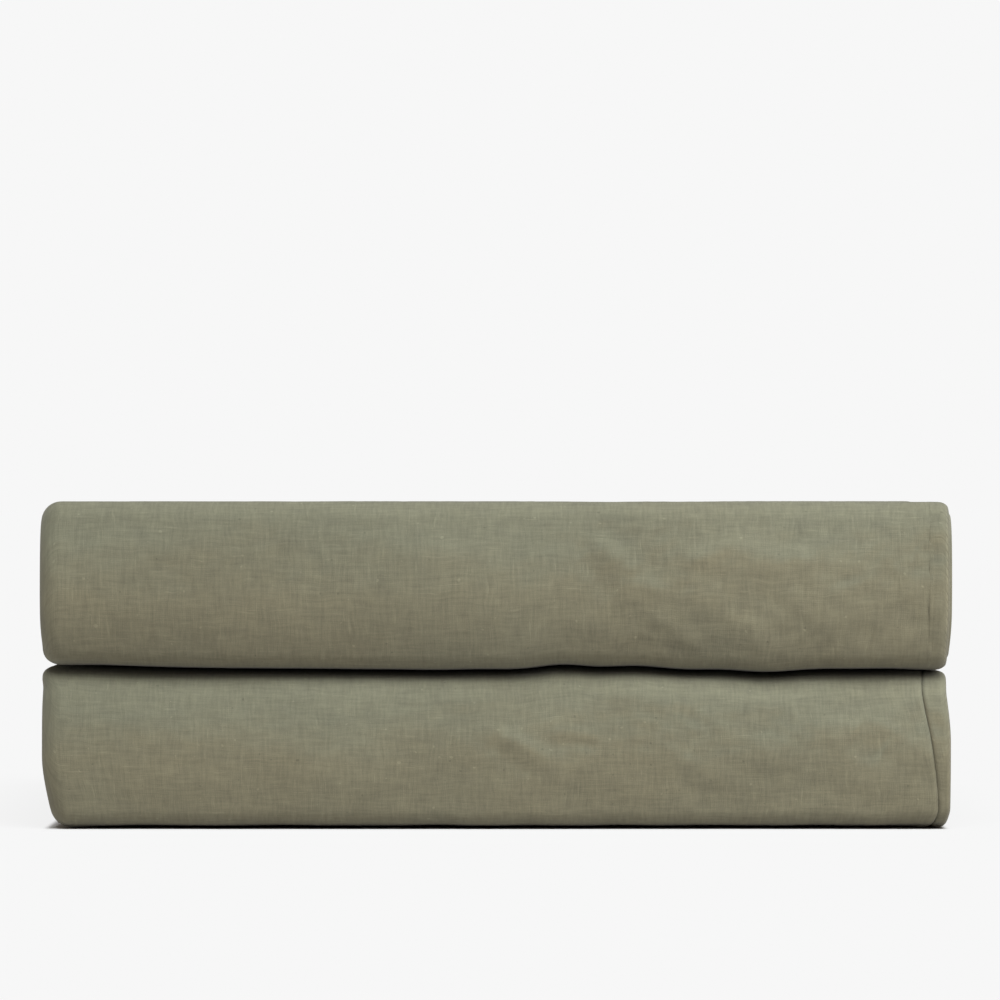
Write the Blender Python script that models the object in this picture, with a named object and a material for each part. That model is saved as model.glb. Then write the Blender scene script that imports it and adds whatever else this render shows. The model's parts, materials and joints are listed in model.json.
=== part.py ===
"""Folded linen duvet cover: a buttoned cover folded into two stacked bundles joined by a soft spine.

The open cover is halved three times across its width into a strip of eight panels. Each half of the
strip is folded to the middle twice, which makes a bundle of four layers, and the two bundles are then
closed like a book. The stretch of strip between them wraps the back of the stack as a spine.

Metres, +Z up. +X runs along the folds towards the sewn edges, -Y faces the front folds, and the
origin is the centre of the face the stack lies on. The upper bundle opens backwards: the spine turns
on an axis along its lower edge, and the upper bundle turns on one along its upper edge.
"""

import math

import bmesh
import bpy
from mathutils import Matrix, Vector

# The open cover.
COVER_WIDTH = 2.400
COVER_LENGTH = 2.200
WIDTH_HALVINGS = 3

# The cloth as it lies folded.
PLY_LOFT = 0.000825
TOUCH_GAP = 0.0003
FRONT_RADIUS = 0.020
SIDE_SEAM_WIDTH = 0.006
SPINE_TIP_RADIUS = 0.0005

# The foot closure and the head seam.
FOOT_HEM_DEPTH = 0.045
HEAD_SEAM_DEPTH = 0.010
BAND_EDGE_RADIUS = 0.0012
BUTTON_DIAMETER = 0.015
BUTTON_THICKNESS = 0.003
BUTTON_RIM_WIDTH = 0.0018
BUTTON_DISH_DEPTH = 0.0007
BUTTON_EDGE_RADIUS = 0.0006
BUTTON_HOLE_DIAMETER = 0.0018
BUTTON_HOLE_SPACING = 0.0030
BUTTON_SHIFT = 0.010

# Corner ties and the care label.
TIE_WIDTH = 0.010
TIE_THICKNESS = 0.0012
TIE_LENGTH = 0.040
TIE_INSET = 0.012
LABEL_WIDTH = 0.030
LABEL_LENGTH = 0.035
LABEL_THICKNESS = 0.0006
LABEL_INSET = 0.002

# Worked out from the sizes above.
PANELS = 2**WIDTH_HALVINGS
PANEL_WIDTH = COVER_WIDTH / PANELS
LAYER = 2 * PANELS * PLY_LOFT
LAYER_PITCH = LAYER + TOUCH_GAP
BUNDLE_HEIGHT = 4 * LAYER + 3 * TOUCH_GAP
STACK_HEIGHT = 2 * BUNDLE_HEIGHT + TOUCH_GAP
SMALL_FOLD_RADIUS = LAYER_PITCH / 2
SMALL_FOLD_OUTER = SMALL_FOLD_RADIUS + LAYER / 2
FRONT_FOLD_RADIUS = FRONT_RADIUS - LAYER / 2
FRONT_FOLD_RISE = BUNDLE_HEIGHT - 2 * FRONT_RADIUS
LEFT_END = -PANEL_WIDTH / 2
RIGHT_END = PANEL_WIDTH / 2

# Steps in the round stretches.
LARGE_ARC_STEPS = 8
SMALL_ARC_STEPS = 5

LINEN = ((0.231, 0.222, 0.160), 0.90)
SEAM_LINEN = ((0.205, 0.196, 0.140), 0.92)
COTTON_TAPE = ((0.640, 0.610, 0.530), 0.88)
LABEL_CLOTH = ((0.780, 0.760, 0.700), 0.70)
COCONUT_SHELL = ((0.120, 0.066, 0.034), 0.45)


def folded_depth():
    """The depth of the stack whose folded strip is as long as the cover."""
    half_spine = (STACK_HEIGHT - LAYER) / 2
    front_fold = math.pi * FRONT_FOLD_RADIUS + FRONT_FOLD_RISE
    small_folds = 2 * math.pi * SMALL_FOLD_RADIUS
    base_run_less = LAYER / 2 + FRONT_RADIUS
    top_run_less = FRONT_RADIUS + LAYER_PITCH + SMALL_FOLD_OUTER
    return_run_less = 2 * (LAYER_PITCH + SMALL_FOLD_OUTER)
    end_run_less = 2 * LAYER_PITCH + SMALL_FOLD_OUTER
    missing = base_run_less + top_run_less + return_run_less + end_run_less
    return (COVER_LENGTH / 2 - half_spine - front_fold - small_folds + missing) / 4


DEPTH = folded_depth()
FRONT = -DEPTH / 2
BACK = DEPTH / 2
HINGE_Y = BACK - LAYER / 2
LOWER_HINGE_Z = LAYER / 2
UPPER_HINGE_Z = STACK_HEIGHT - LAYER / 2
BUNDLE_BACK = BACK - LAYER_PITCH
END_LAYER_Z = LAYER_PITCH + LAYER / 2


def clear_scene():
    for old in list(bpy.data.objects):
        bpy.data.objects.remove(old, do_unlink=True)


def material(name, look):
    colour, roughness = look
    made = bpy.data.materials.new(name)
    made.use_nodes = True
    surface = made.node_tree.nodes["Principled BSDF"]
    surface.inputs["Base Color"].default_value = (*colour, 1.0)
    surface.inputs["Roughness"].default_value = roughness
    surface.inputs["Metallic"].default_value = 0.0
    return made


def add_object(name, bm, look, smooth_degrees=35):
    bmesh.ops.recalc_face_normals(bm, faces=bm.faces)
    mesh = bpy.data.meshes.new(name)
    bm.to_mesh(mesh)
    bm.free()
    mesh.shade_smooth()
    mesh.set_sharp_from_angle(angle=math.radians(smooth_degrees))
    mesh.materials.append(material(name, look))
    made = bpy.data.objects.new(name, mesh)
    bpy.context.scene.collection.objects.link(made)
    return made


def arc(centre, radius, start_degrees, end_degrees, steps):
    """Points along an arc, both ends included."""
    points = []
    for step in range(steps + 1):
        angle = math.radians(start_degrees + (end_degrees - start_degrees) * step / steps)
        points.append((centre[0] + radius * math.cos(angle), centre[1] + radius * math.sin(angle)))
    return points


class FoldPath:
    """The middle line of the strip in the YZ plane, with the outward side on the left of its heading."""

    def __init__(self, y, z, heading):
        self.place = Vector((y, z))
        self.heading = Vector(heading)
        self.stations = []
        self.mark()

    def outward(self):
        return Vector((-self.heading.y, self.heading.x))

    def mark(self):
        self.stations.append((self.place.copy(), self.outward()))

    def run(self, length):
        self.place += self.heading * length
        self.mark()

    def turn(self, radius, degrees, steps):
        """Positive degrees turn left. The radius is that of the middle line."""
        side = math.copysign(1.0, degrees)
        centre = self.place + self.outward() * radius * side
        step = Matrix.Rotation(math.radians(degrees) / steps, 2)
        for _ in range(steps):
            self.place = centre + step @ (self.place - centre)
            self.heading = step @ self.heading
            self.mark()

    def mirrored(self):
        """The same stations for the upper bundle, which is the lower one turned over."""
        flipped = []
        for place, outward in self.stations:
            flipped.append((Vector((place.x, STACK_HEIGHT - place.y)), Vector((outward.x, -outward.y))))
        return flipped


def sweep(name, section, stations, look):
    """A closed solid of the (x, outward) section carried along the stations."""
    bm = bmesh.new()
    rings = []
    for place, outward in stations:
        ring = []
        for x, n in section:
            ring.append(bm.verts.new((x, place.x + n * outward.x, place.y + n * outward.y)))
        rings.append(ring)
    for ring, after in zip(rings, rings[1:]):
        for i in range(len(ring)):
            j = (i + 1) % len(ring)
            bm.faces.new((ring[i], ring[j], after[j], after[i]))
    bm.faces.new(rings[0][::-1])
    bm.faces.new(rings[-1])
    return add_object(name, bm, look)


def layer_section():
    """The panels cut across the strip: one smooth fold at the left, two folds and a notch at the right."""
    half = LAYER / 2
    broad = LAYER / 4
    narrow = LAYER / 8
    notch = RIGHT_END - SIDE_SEAM_WIDTH - TOUCH_GAP
    section = arc((RIGHT_END - broad, -broad), broad, -90, 90, SMALL_ARC_STEPS)
    section += arc((RIGHT_END - narrow, narrow), narrow, -90, 90, SMALL_ARC_STEPS)
    section += [(notch, 2 * narrow), (notch, half)]
    section += arc((LEFT_END + half, 0.0), half, 90, 270, LARGE_ARC_STEPS)
    return section


def seam_section():
    """Both side seams of the cover, lying one on the other at the outward face of the strip."""
    low = LAYER / 4 + TOUCH_GAP
    high = LAYER / 2
    radius = (high - low) / 2
    section = arc((RIGHT_END - radius, low + radius), radius, -90, 90, SMALL_ARC_STEPS)
    section += [(RIGHT_END - SIDE_SEAM_WIDTH, high), (RIGHT_END - SIDE_SEAM_WIDTH, low)]
    return section


def outer_fold_path():
    """From the spine along the base, round the front and back along the layer beside the crease."""
    path = FoldPath(BUNDLE_BACK, LAYER / 2, (-1.0, 0.0))
    path.run(BUNDLE_BACK - FRONT - FRONT_RADIUS)
    path.turn(FRONT_FOLD_RADIUS, -90, SMALL_ARC_STEPS)
    path.run(FRONT_FOLD_RISE)
    path.turn(FRONT_FOLD_RADIUS, -90, SMALL_ARC_STEPS)
    path.run(BUNDLE_BACK - SMALL_FOLD_OUTER - TOUCH_GAP - FRONT - FRONT_RADIUS)
    return path


def inner_fold_path(end_depth):
    """Down the fold at the back, forward, round the fold at the front and back to the strip's end."""
    path = FoldPath(BUNDLE_BACK - SMALL_FOLD_OUTER, BUNDLE_HEIGHT - LAYER / 2, (1.0, 0.0))
    path.turn(SMALL_FOLD_RADIUS, -180, LARGE_ARC_STEPS)
    front_stop = FRONT + LAYER_PITCH + SMALL_FOLD_OUTER
    path.run(BUNDLE_BACK - SMALL_FOLD_OUTER - front_stop)
    path.turn(SMALL_FOLD_RADIUS, 180, LARGE_ARC_STEPS)
    path.run(BUNDLE_BACK - end_depth - TOUCH_GAP - front_stop)
    return path


def rounded_box(name, low, high, radius, look):
    bm = bmesh.new()
    bmesh.ops.create_cube(bm, size=1.0)
    size = Vector(high) - Vector(low)
    centre = (Vector(high) + Vector(low)) / 2
    bmesh.ops.scale(bm, vec=size, verts=bm.verts)
    bmesh.ops.translate(bm, vec=centre, verts=bm.verts)
    if radius:
        bmesh.ops.bevel(bm, geom=bm.edges, offset=radius, segments=2, profile=0.5, affect="EDGES")
    return add_object(name, bm, look)


def cut(target, name, low, high):
    """Takes a box-shaped pocket out of target."""
    cutter = rounded_box(name, low, high, 0.0, LINEN)
    cutter.hide_render = True
    cutter.display_type = "WIRE"
    boolean = target.modifiers.new(name, "BOOLEAN")
    boolean.operation = "DIFFERENCE"
    boolean.solver = "EXACT"
    boolean.object = cutter


def parent_to(children, pivot):
    """Parents world-placed pieces to a pivot and leaves them where they are."""
    bpy.context.view_layer.update()
    for child in children:
        child.parent = pivot
        child.matrix_parent_inverse = pivot.matrix_world.inverted()


def add_pivot(name, z):
    pivot = bpy.data.objects.new(name, None)
    pivot.location = (0.0, HINGE_Y, z)
    pivot.empty_display_size = LAYER
    bpy.context.scene.collection.objects.link(pivot)
    return pivot


def build_folds(half, mirrored, end_depth):
    """The two nested folds of one bundle, each with its side seams."""
    outer = outer_fold_path()
    inner = inner_fold_path(end_depth)
    made = []
    for fold, path in (("outer", outer), ("inner", inner)):
        stations = path.mirrored() if mirrored else path.stations
        made.append(sweep(f"{half}_{fold}_fold", layer_section(), stations, LINEN))
        made.append(sweep(f"{half}_{fold}_side_seam", seam_section(), stations, SEAM_LINEN))
    return made


def spine_outline(radius):
    """A stadium about the line between the two hinge axes, as (y, z) points."""
    points = arc((HINGE_Y, UPPER_HINGE_Z), radius, 0, 180, LARGE_ARC_STEPS)
    points += arc((HINGE_Y, LOWER_HINGE_Z), radius, 180, 360, LARGE_ARC_STEPS)
    return points


def build_spine():
    """The back wrap, whose lower and upper edges are round about the hinge axes, and its side seams."""
    half = LAYER / 2
    round_off = half - SPINE_TIP_RADIUS
    stations = arc((LEFT_END + round_off, round_off), round_off, 180, 270, SMALL_ARC_STEPS)
    stations += arc((RIGHT_END - round_off, round_off), round_off, 270, 360, SMALL_ARC_STEPS)
    bm = bmesh.new()
    rings = []
    for x, inset in stations:
        ring = []
        for y, z in spine_outline(half - inset):
            ring.append(bm.verts.new((x, y, z)))
        rings.append(ring)
    for ring, after in zip(rings, rings[1:]):
        for i in range(len(ring)):
            j = (i + 1) % len(ring)
            bm.faces.new((ring[i], ring[j], after[j], after[i]))
    bm.faces.new(rings[0][::-1])
    bm.faces.new(rings[-1])
    panel = add_object("spine_fold", bm, LINEN)
    seam_inner = BACK - LAYER / 4
    edge = RIGHT_END - SIDE_SEAM_WIDTH
    cut(
        panel,
        "spine_seam_notch",
        (edge - TOUCH_GAP, seam_inner, -LAYER),
        (RIGHT_END + LAYER, BACK + LAYER, STACK_HEIGHT + LAYER),
    )
    seam = rounded_box(
        "spine_side_seam",
        (edge, seam_inner + TOUCH_GAP, LOWER_HINGE_Z),
        (RIGHT_END, BACK, UPPER_HINGE_Z),
        BAND_EDGE_RADIUS,
        SEAM_LINEN,
    )
    return [panel, seam]


def folded_offset(position):
    """Where a point on the open cover ends up across the strip, measured from the seamed edge."""
    panel = int(position // PANEL_WIDTH)
    along = position - panel * PANEL_WIDTH
    return along if panel % 2 == 0 else PANEL_WIDTH - along


def button_mesh():
    """A dished four-hole button, lying flat about its own centre."""
    radius = BUTTON_DIAMETER / 2
    half = BUTTON_THICKNESS / 2
    edge = BUTTON_EDGE_RADIUS
    dish = radius - BUTTON_RIM_WIDTH
    profile = [(0.0, -half), (radius - edge, -half), (radius, -half + edge), (radius, half - edge)]
    profile += [(radius - edge, half), (dish + edge, half), (dish, half - BUTTON_DISH_DEPTH)]
    profile += [(0.0, half - BUTTON_DISH_DEPTH)]
    bm = bmesh.new()
    verts = [bm.verts.new((r, 0.0, z)) for r, z in profile]
    edges = [bm.edges.new(pair) for pair in zip(verts, verts[1:])]
    bmesh.ops.spin(
        bm,
        geom=verts + edges,
        axis=(0, 0, 1),
        cent=(0, 0, 0),
        angle=math.tau,
        steps=20,
        use_merge=True,
    )
    bmesh.ops.remove_doubles(bm, verts=bm.verts, dist=1e-6)
    blank = add_object("button_blank", bm, COCONUT_SHELL)
    holes = bmesh.new()
    for sx in (-1, 1):
        for sy in (-1, 1):
            place = (sx * BUTTON_HOLE_SPACING / 2, sy * BUTTON_HOLE_SPACING / 2, 0.0)
            bmesh.ops.create_cone(
                holes,
                cap_ends=True,
                segments=8,
                radius1=BUTTON_HOLE_DIAMETER / 2,
                radius2=BUTTON_HOLE_DIAMETER / 2,
                depth=2 * BUTTON_THICKNESS,
                matrix=Matrix.Translation(place),
            )
    drill = add_object("button_drill", holes, COCONUT_SHELL)
    boolean = blank.modifiers.new("holes", "BOOLEAN")
    boolean.operation = "DIFFERENCE"
    boolean.solver = "EXACT"
    boolean.object = drill
    graph = bpy.context.evaluated_depsgraph_get()
    mesh = bpy.data.meshes.new_from_object(blank.evaluated_get(graph))
    mesh.name = "button"
    for scratch in (blank, drill):
        bpy.data.objects.remove(scratch, do_unlink=True)
    return mesh


def build_buttons():
    """One button to each panel. The pitch falls short of a panel, so the folded buttons lie side by side."""
    mesh = button_mesh()
    pitch = PANEL_WIDTH - BUTTON_SHIFT
    first = PANEL_WIDTH / 2 - 2 * BUTTON_SHIFT
    buttons = []
    for number in range(PANELS):
        offset = folded_offset(first + number * pitch)
        made = bpy.data.objects.new(f"foot_button_{number + 1}", mesh)
        made.location = (RIGHT_END - offset, BUNDLE_BACK - FOOT_HEM_DEPTH / 2, END_LAYER_Z)
        bpy.context.scene.collection.objects.link(made)
        buttons.append(made)
    return buttons


def build_foot_closure():
    """The two hem bands at the strip's foot end, with the buttons between them."""
    band = (LAYER - BUTTON_THICKNESS) / 2 - TOUCH_GAP
    front = BUNDLE_BACK - FOOT_HEM_DEPTH
    low = LAYER_PITCH
    high = LAYER_PITCH + LAYER
    pieces = []
    for name, base in (("foot_button_band", low), ("foot_buttonhole_band", high - band)):
        pieces.append(
            rounded_box(
                name,
                (LEFT_END, front, base),
                (RIGHT_END, BUNDLE_BACK, base + band),
                BAND_EDGE_RADIUS,
                LINEN,
            )
        )
    return pieces + build_buttons()


def build_ties(prefix, back_end, middle_z):
    """A folded tape at each of the two corners, one on the other beside the side seams."""
    pieces = []
    centre = RIGHT_END - TIE_INSET
    for number, side in enumerate((-1, 1)):
        low_z = middle_z + side * (TIE_THICKNESS + TOUCH_GAP) / 2 - TIE_THICKNESS / 2
        pieces.append(
            rounded_box(
                f"{prefix}_corner_tie_{number + 1}",
                (centre - TIE_WIDTH / 2, back_end - TIE_LENGTH, low_z),
                (centre + TIE_WIDTH / 2, back_end, low_z + TIE_THICKNESS),
                0.0,
                COTTON_TAPE,
            )
        )
    return pieces


def build_head_end(inner_fold):
    """The sewn head seam across the strip's other end, and the ties inside the cover's head corners."""
    top = STACK_HEIGHT - LAYER_PITCH
    seam = rounded_box(
        "head_seam",
        (LEFT_END, BUNDLE_BACK - HEAD_SEAM_DEPTH, top - LAYER),
        (RIGHT_END, BUNDLE_BACK, top),
        BAND_EDGE_RADIUS,
        SEAM_LINEN,
    )
    end = BUNDLE_BACK - HEAD_SEAM_DEPTH - TOUCH_GAP
    middle = STACK_HEIGHT - END_LAYER_Z
    centre = RIGHT_END - TIE_INSET
    half_width = TIE_WIDTH / 2 + TOUCH_GAP
    half_height = TIE_THICKNESS + 2 * TOUCH_GAP
    cut(
        inner_fold,
        "head_tie_pocket",
        (centre - half_width, end - TIE_LENGTH - TOUCH_GAP, middle - half_height),
        (centre + half_width, end + LAYER, middle + half_height),
    )
    return [seam] + build_ties("head", end, middle)


def build_care_label(inner_fold):
    """A blank label caught in the side seam just ahead of the foot hem."""
    end = BUNDLE_BACK - FOOT_HEM_DEPTH - TOUCH_GAP
    low = (RIGHT_END - LABEL_INSET - LABEL_WIDTH, end - LABEL_LENGTH, END_LAYER_Z - LABEL_THICKNESS / 2)
    high = (RIGHT_END - LABEL_INSET, end, END_LAYER_Z + LABEL_THICKNESS / 2)
    clear = Vector((TOUCH_GAP, TOUCH_GAP, TOUCH_GAP))
    pocket_high = Vector((RIGHT_END + LAYER, end + LAYER, high[2] + TOUCH_GAP))
    cut(inner_fold, "care_label_pocket", Vector(low) - clear, pocket_high)
    return [rounded_box("care_label", low, high, 0.0, LABEL_CLOTH)]


def main():
    clear_scene()
    lower = build_folds("lower", False, FOOT_HEM_DEPTH)
    lower_inner_fold = lower[2]
    lower += build_foot_closure()
    lower += build_ties("foot", BUNDLE_BACK, END_LAYER_Z)
    lower += build_care_label(lower_inner_fold)
    spine = build_spine()
    upper = build_folds("upper", True, HEAD_SEAM_DEPTH)
    upper_inner_fold = upper[2]
    upper += build_head_end(upper_inner_fold)
    spine_pivot = add_pivot("spine_pivot", LOWER_HINGE_Z)
    upper_pivot = add_pivot("upper_pivot", UPPER_HINGE_Z)
    parent_to(spine + [upper_pivot], spine_pivot)
    parent_to(upper, upper_pivot)


main()
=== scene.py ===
"""Looks of the folded linen duvet cover.

For each half the folded strip is swept as one fine grid, from the middle of the spine to the strip's
end. It is wrinkled and then cut where the CAD nodes meet, so the cloth runs on from piece to piece. The
hems, head seam, ties and label are thin soft bars. settle() moves grids and bars alike, so neighbours
keep their distance while the stack sags. The buttons are the CAD nodes themselves.

Metres, +Z up. x runs along the folds, and (y, z) is the plane in which the strip is folded. On a grid,
rows are stations along the strip and columns are points round the folded panels.
"""

import json
import math

import bpy
import numpy as np
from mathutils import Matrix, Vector


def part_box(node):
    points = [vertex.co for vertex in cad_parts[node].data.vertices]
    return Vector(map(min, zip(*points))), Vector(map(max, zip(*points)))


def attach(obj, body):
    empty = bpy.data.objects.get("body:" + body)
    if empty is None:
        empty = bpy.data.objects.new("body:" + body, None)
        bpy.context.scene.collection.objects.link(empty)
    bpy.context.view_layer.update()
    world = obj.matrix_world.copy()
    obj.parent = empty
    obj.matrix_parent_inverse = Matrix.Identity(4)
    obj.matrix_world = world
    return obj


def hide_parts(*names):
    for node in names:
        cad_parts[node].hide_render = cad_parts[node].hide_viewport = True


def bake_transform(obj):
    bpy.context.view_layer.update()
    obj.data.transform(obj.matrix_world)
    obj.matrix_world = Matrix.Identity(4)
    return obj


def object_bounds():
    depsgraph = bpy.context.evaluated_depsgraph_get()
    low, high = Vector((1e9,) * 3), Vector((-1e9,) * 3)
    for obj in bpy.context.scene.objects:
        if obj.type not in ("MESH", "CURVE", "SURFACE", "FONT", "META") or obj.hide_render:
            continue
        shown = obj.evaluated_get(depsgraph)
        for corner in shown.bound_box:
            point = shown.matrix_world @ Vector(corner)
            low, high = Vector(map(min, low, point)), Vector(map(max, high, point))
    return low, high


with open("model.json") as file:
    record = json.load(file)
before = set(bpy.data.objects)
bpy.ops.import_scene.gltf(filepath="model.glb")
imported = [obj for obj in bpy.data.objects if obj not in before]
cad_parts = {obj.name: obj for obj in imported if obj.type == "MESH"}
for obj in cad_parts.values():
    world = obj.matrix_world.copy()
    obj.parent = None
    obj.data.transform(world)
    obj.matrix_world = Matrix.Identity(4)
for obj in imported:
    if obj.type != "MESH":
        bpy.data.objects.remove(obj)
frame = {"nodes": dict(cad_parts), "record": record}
CAD_LOW, CAD_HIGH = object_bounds()
MM = 0.001

# The frame's own places.
HINGE = {joint["name"]: joint["pos_m"] for joint in frame["record"]["behaviour"]["joints"]}
HINGE_Y = HINGE["spine_turn"][1]
LOWER_HINGE_Z = HINGE["spine_turn"][2]
LEFT, FRONT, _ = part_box("lower_outer_fold")[0]
RIGHT, _, BUNDLE_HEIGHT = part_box("lower_outer_fold")[1]
BUNDLE_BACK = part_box("lower_inner_fold")[1].y
HEIGHT = CAD_HIGH.z
HALF_LAYER = LOWER_HINGE_Z
LAYER = 2 * HALF_LAYER
LAYER_PITCH = (BUNDLE_HEIGHT - LAYER) / 3
BAND_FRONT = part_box("foot_button_band")[0].y
HEAD_SEAM_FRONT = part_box("head_seam")[0].y
END_LAYER_Z = LAYER_PITCH + HALF_LAYER
LABEL_LOW, LABEL_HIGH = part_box("care_label")
LABEL_ROOM = 0.65 * MM
SEAM_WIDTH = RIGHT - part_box("lower_outer_side_seam")[0].x

# The cloth's path.
CORNER_RADIUS = 15 * MM
SPINE_OVERRUN = 4 * MM
FRONT_RADIUS = 20 * MM - HALF_LAYER
FRONT_RISE = BUNDLE_HEIGHT - 40 * MM
SMALL_RADIUS = LAYER_PITCH / 2
# How far apart the grid's rows and columns are: where the cloth is seen, beside that, and hidden.
FINE_STEP = 1.4 * MM
PLAIN_STEP = 2.4 * MM
HIDDEN_STEP = 6 * MM
INWARD_STEP = 5 * MM


def smooth(t):
    """Rises gently from 0 to 1 as t goes from 0 to 1."""
    t = np.clip(t, 0.0, 1.0)
    return t * t * (3 - 2 * t)


def ramp(value, start, width):
    """Rises gently from 0 to 1 as the value goes on from start over the width, both in millimetres."""
    return smooth((value - start * MM) / (width * MM))


def bump(t):
    """A round hump, 1 at t = 0 and nearly 0 from t = 2 on either side."""
    return np.exp(-t * t)


def waves(u, v, seed, count, shortest, longest, lean=(0.0, math.pi)):
    """A smooth random surface: plane waves of many lengths and directions added together."""
    draw = np.random.default_rng(seed)
    total = np.zeros(np.broadcast(u, v).shape)
    for _ in range(count):
        length = shortest * (longest / shortest) ** draw.random()
        angle = draw.uniform(*lean)
        phase = draw.uniform(0, math.tau)
        total += np.sin(math.tau * (u * math.cos(angle) + v * math.sin(angle)) / length + phase)
    return total / math.sqrt(count / 2)


def spaced(start, stop, step):
    """Evenly spaced numbers from start to stop, about a step apart."""
    count = max(1, round(abs(stop - start) / step))
    return np.linspace(start, stop, count + 1)


# ---------------- camera, floor and light

# The width of the picture at the front of the object.
PICTURE_WIDTH = 0.3274
LENS = 200.0
SENSOR = 36.0
CAMERA_X = 1.3 * MM
CAMERA_RISE = 0.4 * MM
# How bright the plain ground behind and under the object is.
BACKDROP = 0.930


def make_camera():
    """A long lens at the height of the object's top, looking straight on."""
    data = bpy.data.cameras.new("camera")
    data.lens = LENS
    data.sensor_width = SENSOR
    camera = bpy.data.objects.new("camera", data)
    distance = PICTURE_WIDTH * LENS / SENSOR
    camera.location = (CAMERA_X, FRONT - distance, HEIGHT + CAMERA_RISE)
    camera.rotation_euler = (math.radians(90), 0, 0)
    data.clip_start = 0.05
    data.clip_end = 60
    bpy.context.scene.collection.objects.link(camera)
    bpy.context.scene.camera = camera


ROOM_FILL = (0.24, 0.215, 0.19)
KEY_COLOUR = (0.965, 1.0, 1.01)
KEY_STRENGTH = 4.1
# Degrees: above the floor, round to the right, and across the light.
KEY_ELEVATION = 60
KEY_AZIMUTH = 14
KEY_WIDTH = 44
SIDE_LIGHT_PLACE = (0.46, -0.50, 0.36)
SIDE_LIGHT_TARGET = (0.10, FRONT, HEIGHT / 2)
SIDE_LIGHT_SIZE = 0.35
SIDE_LIGHT_POWER = 2.6
FLOOR_SIZE = 40.0
# The floor lies this little below the base, so the two never share a plane.
FLOOR_DROP = 0.2 * MM
# How much of the floor's look comes from light and shadow, far from the object.
FLOOR_SHADE = 0.12
# How far from the object that share starts and stops falling from 1.
SHADE_START, SHADE_END = 0.5 * MM, 3.5 * MM
# How far in from the two ends the floor stays lit.
ENDS_LIT = 3.5 * MM


def make_light():
    """A bright backdrop, a dimmer room round the object, a broad key light and a small one at the side."""
    world = bpy.data.worlds.new("studio")
    world.use_nodes = True
    tree = world.node_tree
    background = tree.nodes["Background"]
    background.inputs["Strength"].default_value = BACKDROP
    background.inputs["Color"].default_value = (1, 1, 1, 1)
    room = tree.nodes.new("ShaderNodeBackground")
    room.inputs["Color"].default_value = (*ROOM_FILL, 1)
    ray = tree.nodes.new("ShaderNodeLightPath")
    choose = tree.nodes.new("ShaderNodeMixShader")
    tree.links.new(ray.outputs["Is Camera Ray"], choose.inputs[0])
    tree.links.new(room.outputs[0], choose.inputs[1])
    tree.links.new(background.outputs[0], choose.inputs[2])
    tree.links.new(choose.outputs[0], tree.nodes["World Output"].inputs[0])
    bpy.context.scene.world = world
    bpy.context.scene.view_settings.view_transform = "Standard"
    sun = bpy.data.lights.new("softbox", "SUN")
    sun.energy = KEY_STRENGTH
    sun.angle = math.radians(KEY_WIDTH)
    sun.color = KEY_COLOUR
    lamp = bpy.data.objects.new("softbox", sun)
    lamp.rotation_euler = (math.radians(90 - KEY_ELEVATION), 0, math.radians(KEY_AZIMUTH))
    bpy.context.scene.collection.objects.link(lamp)
    side = bpy.data.lights.new("side_light", "AREA")
    side.shape = "DISK"
    side.size = SIDE_LIGHT_SIZE
    side.energy = SIDE_LIGHT_POWER
    side_lamp = bpy.data.objects.new("side_light", side)
    side_lamp.location = SIDE_LIGHT_PLACE
    aim = Vector(SIDE_LIGHT_TARGET) - side_lamp.location
    side_lamp.rotation_euler = aim.to_track_quat("-Z", "Y").to_euler()
    bpy.context.scene.collection.objects.link(side_lamp)
    return side_lamp


def make_floor(side_lamp):
    """A pale floor that keeps its shadow only close to the object, as a lit studio table does."""
    size = FLOOR_SIZE
    corners = [(-size, -size, 0), (size, -size, 0), (size, size, 0), (-size, size, 0)]
    mesh = bpy.data.meshes.new("floor")
    mesh.from_pydata(corners, [], [(0, 1, 2, 3)])
    floor = bpy.data.objects.new("floor", mesh)
    floor.location.z = -FLOOR_DROP
    bpy.context.scene.collection.objects.link(floor)
    graph = Graph("floor")
    place = graph.node("ShaderNodeSeparateXYZ")
    graph.feed(place.inputs[0], graph.node("ShaderNodeTexCoord").outputs["Object"])
    beside = graph.math("SUBTRACT", graph.math("ABSOLUTE", place.outputs[0]), RIGHT - ENDS_LIT)
    before = graph.math("SUBTRACT", graph.math("ABSOLUTE", place.outputs[1]), -FRONT)
    away = graph.math("MAXIMUM", beside, before)
    shaded = graph.remap(away, SHADE_START, SHADE_END, 1.0, FLOOR_SHADE)
    key = KEY_STRENGTH * math.sin(math.radians(KEY_ELEVATION)) / math.pi
    pale = tuple(BACKDROP / (fill + key * colour) for fill, colour in zip(ROOM_FILL, KEY_COLOUR))
    graph.feed(graph.surface.inputs["Base Color"], graph.shade(graph.rgb(pale), shaded))
    graph.surface.inputs["Emission Color"].default_value = (BACKDROP, BACKDROP, BACKDROP, 1)
    graph.feed(graph.surface.inputs["Emission Strength"], graph.math("SUBTRACT", 1.0, shaded))
    graph.surface.inputs["Roughness"].default_value = 1.0
    graph.surface.inputs["Specular IOR Level"].default_value = 0.0
    mesh.materials.append(graph.material)
    unlit = bpy.data.collections.new("unlit_by_side_light")
    unlit.objects.link(floor)
    side_lamp.light_linking.receiver_collection = unlit
    unlit.collection_objects[0].light_linking.link_state = "EXCLUDE"


# ---------------- materials

SHEEN_ROUGHNESS = 0.55
SPECULAR_LEVEL = 0.25
THREAD_PITCH = 0.66 * MM
# How far the linen's threads wander from straight lines.
THREAD_WANDER = 1.9 * MM
# A thread's own tone changes this much more slowly along it than across.
ALONG_THREAD = 0.10
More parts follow.
